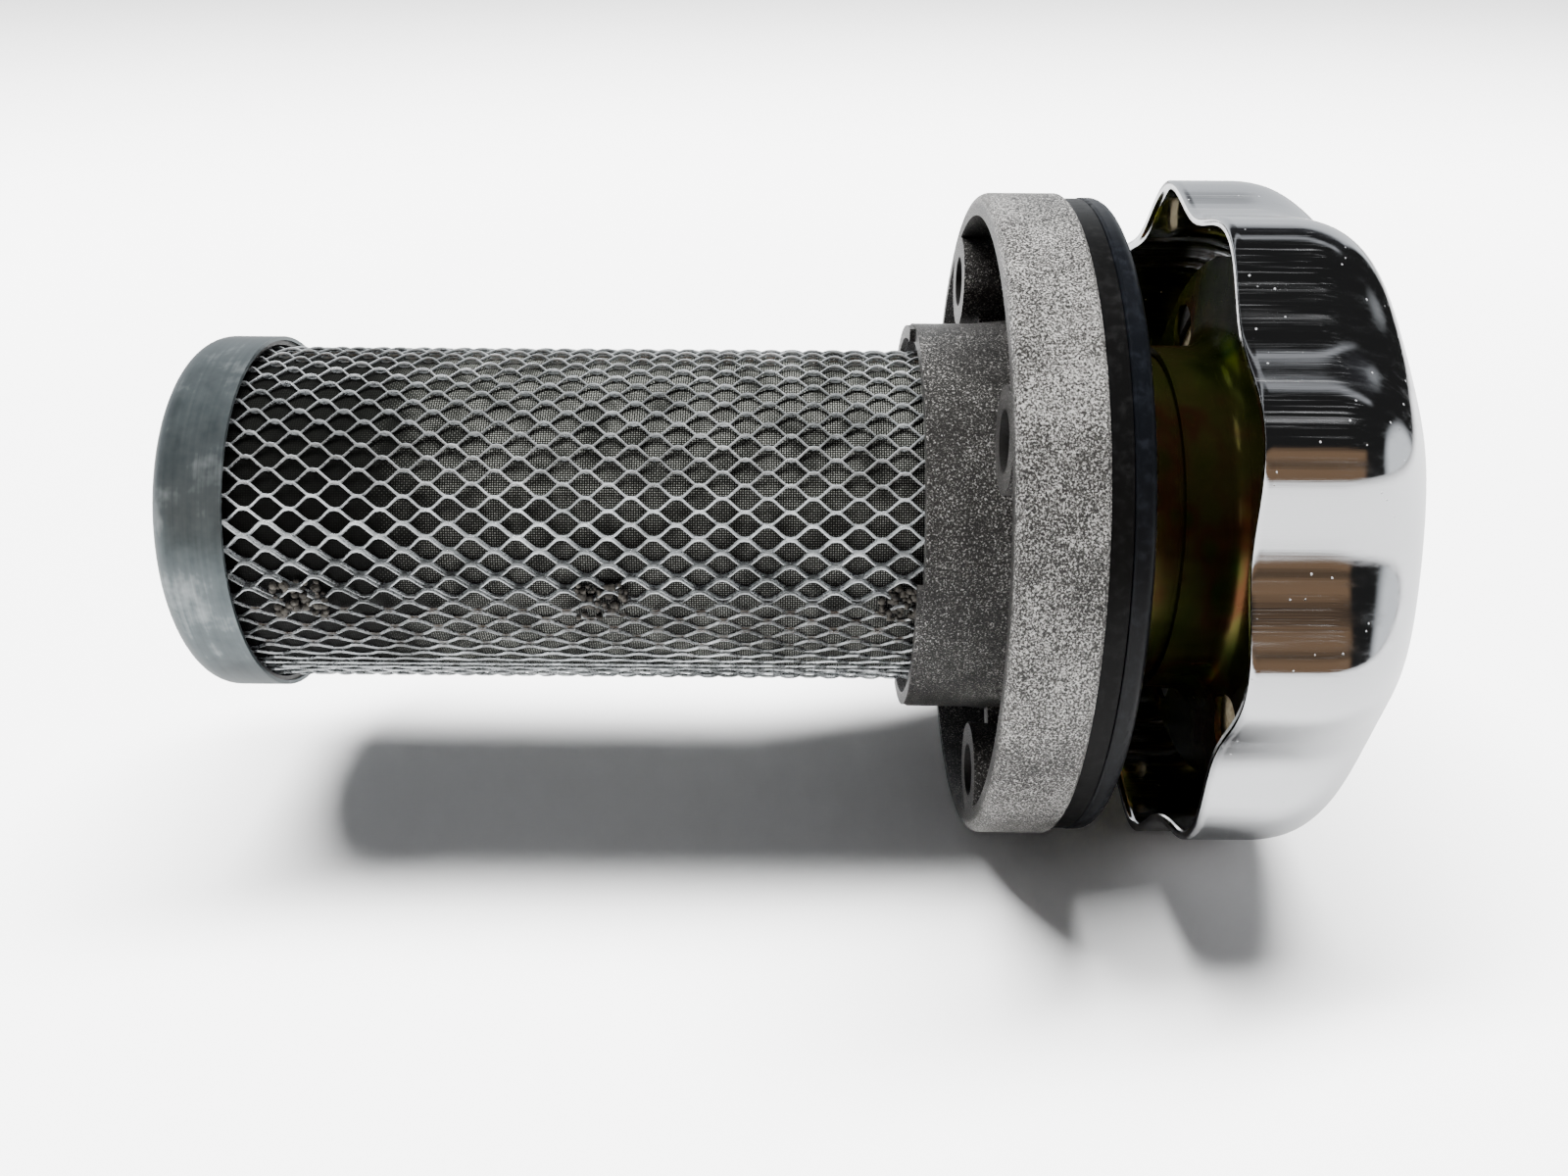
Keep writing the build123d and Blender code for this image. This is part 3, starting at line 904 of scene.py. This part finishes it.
@dataclass
class Studio:
    """The pale floor, the soft light, the surroundings and the camera."""

    eye_distance: float = 174.8 * MM
    eye_along: float = -23.25 * MM
    eye_height: float = math.radians(25.0)
    aim_below: float = math.radians(3.2)
    aim_left: float = math.radians(0.24)
    roll: float = math.radians(0.33)
    lens: float = 29.91
    floor_reach: float = 4.0
    lamp_place: Triple = (-0.07, 0.20, 1.1)
    lamp_size: tuple[float, float] = (1.3, 0.28)
    lamp_power: float = 124.0
    # The floor's glow, painted light on the far floor, and where it starts and where it is full.
    glow: float = 1.7
    glow_from: float = 80.0 * MM
    glow_full: float = 600.0 * MM

    def build_floor(self, level: float) -> Piece:
        """Lays the floor under the part.

        Args:
            level: the floor's height.

        Returns:
            The floor.
        """
        shape = bmesh.new()
        bmesh.ops.create_grid(shape, x_segments=1, y_segments=1, size=self.floor_reach)
        mesh = bpy.data.meshes.new("floor")
        shape.to_mesh(mesh)
        shape.free()
        mesh.transform(Matrix.Translation((0, 0, level)))
        floor = bpy.data.objects.new("floor", mesh)
        bpy.context.scene.collection.objects.link(floor)
        paint = Paint("pale_floor", Roughness=0.75, Emission_Color=(1.0, 1.0, 1.0, 1.0))
        x, y, _ = paint.parts_of(paint.where)
        # Painted light: the floor glows more and more away from the part, though it is no lamp.
        away = (x * x + y * y).join("SQRT").eased(self.glow_from, self.glow_full)
        # Painted reflection: as seen in reflections, the floor is dimmed by 62 percent.
        mirrored = Field(paint.tree, paint.add("ShaderNodeLightPath", {}).outputs["Is Glossy Ray"])
        seen = mirrored * -0.62 + 1.0
        shade = (paint.noise(Speck(9.0)) * 0.05 + 0.95) * seen
        paint.feed("Emission Strength", away * self.glow * seen)
        paint.colour(shade, [(0.0, (0.0, 0.0, 0.0)), (1.0, (0.95, 0.95, 0.95))])
        mesh.materials.append(paint.material)
        floor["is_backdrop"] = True
        return floor

    def build_lamp(self) -> Piece:
        """Hangs one soft oblong lamp that points at the part."""
        data = bpy.data.lights.new("key", "AREA")
        data.shape = "RECTANGLE"
        data.size, data.size_y = self.lamp_size
        data.energy = self.lamp_power
        lamp = bpy.data.objects.new("key", data)
        lamp.location = self.lamp_place
        lamp.rotation_euler = (-Vector(self.lamp_place)).to_track_quat("-Z", "Y").to_euler()
        lamp.visible_camera = False
        lamp.visible_glossy = False
        bpy.context.scene.collection.objects.link(lamp)
        return lamp

    def build_surroundings(self) -> None:
        """Makes the room that the chrome reflects: bands by the angle round the part's axis."""
        world = bpy.data.worlds.new("room")
        bpy.context.scene.world = world
        world.use_nodes = True
        room = Builder(world.node_tree)
        towards = room.add("ShaderNodeTexCoord", {}).outputs["Generated"]
        along, across, up = room.parts_of(towards)
        height = up.join("ARCTAN2", across * -1.0) / math.pi
        dark, dusk, grey = (0.02, 0.02, 0.02), (0.04, 0.04, 0.045), (0.42, 0.43, 0.45)
        umber, tan, brown = (0.11, 0.075, 0.05), (0.23, 0.145, 0.088), (0.25, 0.157, 0.095)
        pale, white = (0.85, 0.88, 0.92), (1.15, 1.19, 1.23)
        bands = [(0.0, tan), (0.05, brown), (0.08, umber), (0.10, umber), (0.12, brown), (0.17, brown)]
        bands += [(0.21, dark), (0.595, dark), (0.615, grey), (0.63, grey), (0.65, dark)]
        bands += [(0.75, dusk), (0.80, pale), (1.0, white)]
        seen = room.ramp(height, bands)
        for start, end, colour in ((0.66, 0.73, dark), (0.88, 0.96, white)):
            mix = room.add("ShaderNodeMix", {0: along.eased(start, end)}, data_type="RGBA")
            room.tree.links.new(seen, mix.inputs[6])
            mix.inputs[7].default_value = (*colour, 1.0)
            seen = mix.outputs[2]
        mirrored = room.add("ShaderNodeBackground", {"Color": seen})
        plain = room.add("ShaderNodeBackground", {"Color": (3.6, 3.62, 3.66, 1.0)})
        soft = room.add("ShaderNodeBackground", {"Color": (0.19, 0.19, 0.195, 1.0)})
        rays = room.add("ShaderNodeLightPath", {}).outputs
        last = soft.outputs[0]
        for kind, source in (("Is Glossy Ray", mirrored), ("Is Camera Ray", plain)):
            given = {0: rays[kind], 1: last, 2: source.outputs[0]}
            last = room.add("ShaderNodeMixShader", given).outputs[0]
        room.tree.links.new(last, room.tree.nodes["World Output"].inputs[0])

    def build_camera(self) -> Piece:
        """Stands the camera where the part is seen from."""
        data = bpy.data.cameras.new("camera")
        data.lens = self.lens
        data.sensor_width = 36.0
        data.clip_start = 0.005
        camera = bpy.data.objects.new("camera", data)
        bpy.context.scene.collection.objects.link(camera)
        down = self.eye_height + self.aim_below
        level = Vector((-math.sin(self.aim_left), math.cos(self.aim_left), 0))
        ahead = level * math.cos(down) - Vector((0, 0, math.sin(down)))
        right = Vector((math.cos(self.aim_left), math.sin(self.aim_left), 0))
        top = right.cross(ahead)
        turned_right = right * math.cos(self.roll) + top * math.sin(self.roll)
        turned_top = top * math.cos(self.roll) - right * math.sin(self.roll)
        back = self.eye_distance * math.cos(self.eye_height)
        place = Vector((self.eye_along, -back, self.eye_distance * math.sin(self.eye_height)))
        turned = Matrix((turned_right, turned_top, -ahead)).transposed().to_4x4()
        camera.matrix_world = Matrix.Translation(place) @ turned
        bpy.context.scene.camera = camera
        return camera


FINISH_GROUPS: dict[str, tuple[str, ...]] = {
    "cast_metal": ("flange_casting",),
    "galvanised": ("end_cup", "basket_collar", "lug_plate"),
    "bright_zinc": (
        "clamp_disc",
        "crown_stud",
        "clamp_nut",
        "draw_bolt",
        "spring_seat",
        "lock_nut",
        "filter_sleeve",
    ),
    "spring_wire": ("snap_ring",),
    "resin": ("potting",),
    "gasket_rubber": ("cap_gasket",),
    "edge_rubber": ("rubber_edge",),
    "yellow_chromate": ("base_plate", "inner_cup", "splash_baffle"),
    "bush_brass": ("guide_bush",),
    "felt": ("lower_felt", "upper_felt"),
    "filter_media": ("filter_ring",),
}


def make_finishes() -> dict[str, Material]:
    """Builds every material once.

    Returns:
        The materials by name.
    """
    finishes = {
        "cast_metal": CastMetal(),
        "chrome_plate": ChromePlate(),
        "yellow_chromate": YellowChromate(),
        "galvanised": Galvanised(),
        "bright_zinc": Plain("bright_zinc", (0.50, 0.51, 0.52), (0.66, 0.67, 0.68), 1.0, 0.32),
        "bright_steel": BrightSteel(),
        "woven_wire": WovenWire(),
        "gasket_rubber": Rubber("gasket_rubber", 0.08, (0.002, 0.002, 0.002)),
        "edge_rubber": Rubber("edge_rubber", 0.14, (0.002, 0.0023, 0.003)),
        "spring_wire": Plain("spring_wire", (0.20, 0.20, 0.21), (0.34, 0.34, 0.35), 1.0, 0.35),
        "resin": Plain("resin", (0.012, 0.011, 0.010), (0.035, 0.031, 0.026), 0.0, 0.45, 900.0, 0.0002),
        "burnt_steel": Plain(
            "burnt_steel", (0.008, 0.007, 0.006), (0.085, 0.078, 0.066), 0.5, 0.55, 1400.0, 0.0001
        ),
        "bush_brass": Plain("bush_brass", (0.55, 0.38, 0.14), (0.72, 0.54, 0.26), 1.0, 0.3),
        # Painted shade: the felt is kept near black so that the vents in front of it look dark.
        "felt": Plain("felt", (0.012, 0.012, 0.011), (0.035, 0.034, 0.031), 0.0, 0.95, 2500.0, 0.0003),
        "filter_media": Plain(
            "filter_media", (0.50, 0.40, 0.24), (0.78, 0.68, 0.48), 0.0, 0.95, 1300.0, 0.0005
        ),
    }
    return {name: finish.make() for name, finish in finishes.items()}


def main() -> None:
    """Builds the sub-assemblies in order around the frame, then the studio."""
    logging.basicConfig(level=logging.INFO, format="%(name)s: %(message)s")
    frame_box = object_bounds()
    finishes = make_finishes()
    dress(finishes, FINISH_GROUPS)
    strainer = Strainer()
    strainer.build_metal(finishes["bright_steel"])
    strainer.build_cloth(finishes["woven_wire"])
    strainer.build_welds(finishes["burnt_steel"])
    CapShell().build(finishes["chrome_plate"], finishes["yellow_chromate"])
    DrawSpring().build(finishes["spring_wire"])
    studio = Studio()
    studio.build_floor(frame_box[0].z)
    studio.build_lamp()
    studio.build_surroundings()
    studio.build_camera()


if __name__ == "__main__":
    main()
